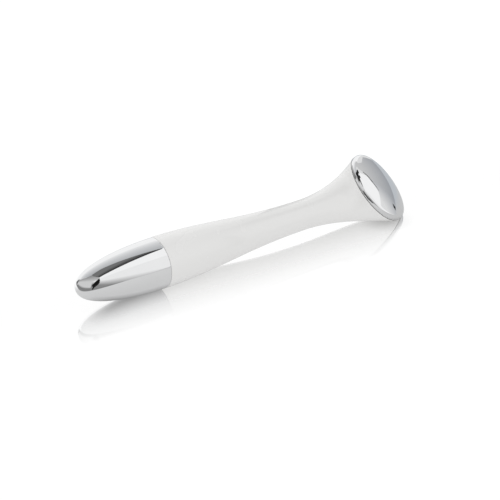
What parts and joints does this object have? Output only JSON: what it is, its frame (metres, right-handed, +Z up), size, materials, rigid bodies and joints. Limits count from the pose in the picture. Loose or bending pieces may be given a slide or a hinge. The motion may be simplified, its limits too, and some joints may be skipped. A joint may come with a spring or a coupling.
{
  "type": "transdermal serum applicator",
  "caption": "Trumpet-shaped handheld skin treatment wand: white handle with a tilted domed metal head at one end and a screw-on bullet-shaped metal battery cap at the other.",
  "frame": {"origin": "middle of the bounding box in X and Y, on the surface that the wand lies on", "axes": "+X along the handle from the cap's tip to the head, +Z up, with the rim of the head and the handle touching the surface together"},
  "size_m": [0.1532, 0.0269, 0.0239],
  "materials": {
    "white_shell": "gloss white",
    "polished_metal": "mirror polished",
    "nickel": "satin nickel plate",
    "brass": "machined",
    "steel": "plain",
    "spring_steel": "bright wire",
    "black_rubber": "matte",
    "grey_rubber": "matte",
    "grey_plastic": "moulded",
    "natural_plastic": "moulded",
    "black_plastic": "moulded",
    "cell_jacket": "printed film over metal",
    "board": "solder mask",
    "ferrite": "matte",
    "winding": "enamelled copper wire",
    "red_wire": "insulated",
    "blue_wire": "insulated",
    "black_wire": "insulated"
  },
  "bodies": {
    "handle": {"handle_shell": "white_shell", "neck_ring": "nickel", "cap_o_ring": "black_rubber", "battery_cell": "cell_jacket", "positive_contact": "brass", "chassis": "grey_plastic", "circuit_board": "board", "control_chip": "black_plastic", "switch_transistor": "black_plastic", "boost_coil": "ferrite", "capacitor": "steel", "neck_lead": "blue_wire", "motor_can": "steel", "motor_end_cap": "natural_plastic", "motor_magnet": "ferrite", "motor_sleeve": "grey_rubber", "motor_lead_red": "red_wire", "motor_lead_black": "black_wire", "head_plate": "polished_metal", "head_base": "natural_plastic", "head_gasket": "black_rubber", "head_terminal": "brass", "head_screw_1": "steel", "head_screw_2": "steel", "head_screw_3": "steel", "head_lead": "blue_wire"},
    "cap_slider": {"spring_plate": "steel", "battery_spring": "spring_steel"},
    "cap": {"tip_cap": "polished_metal", "cap_insert": "brass", "plate_rivet": "brass"},
    "rotor": {"motor_shaft": "steel", "rotor_coil": "winding", "eccentric_weight": "brass"}
  },
  "joints": [
    {"name": "cap_travel", "type": "slide", "parent": "handle", "child": "cap_slider", "axis": [-1, 0, 0], "range_m": [0, 0.005]},
    {"name": "cap_turn", "type": "hinge", "parent": "cap_slider", "child": "cap", "pos_m": [-0.0519, 0.00163, 0.01], "axis": [-1, 0, 0], "range_deg": [0, 900]},
    {"name": "motor_spin", "type": "hinge", "parent": "handle", "child": "rotor", "pos_m": [0.0266, 0.00163, 0.01], "axis": [1, 0, 0], "continuous": true}
  ],
  "couplings": [
    {"joint": "cap_travel", "follows": "cap_turn", "m_per_rad": 0.0003183}
  ]
}
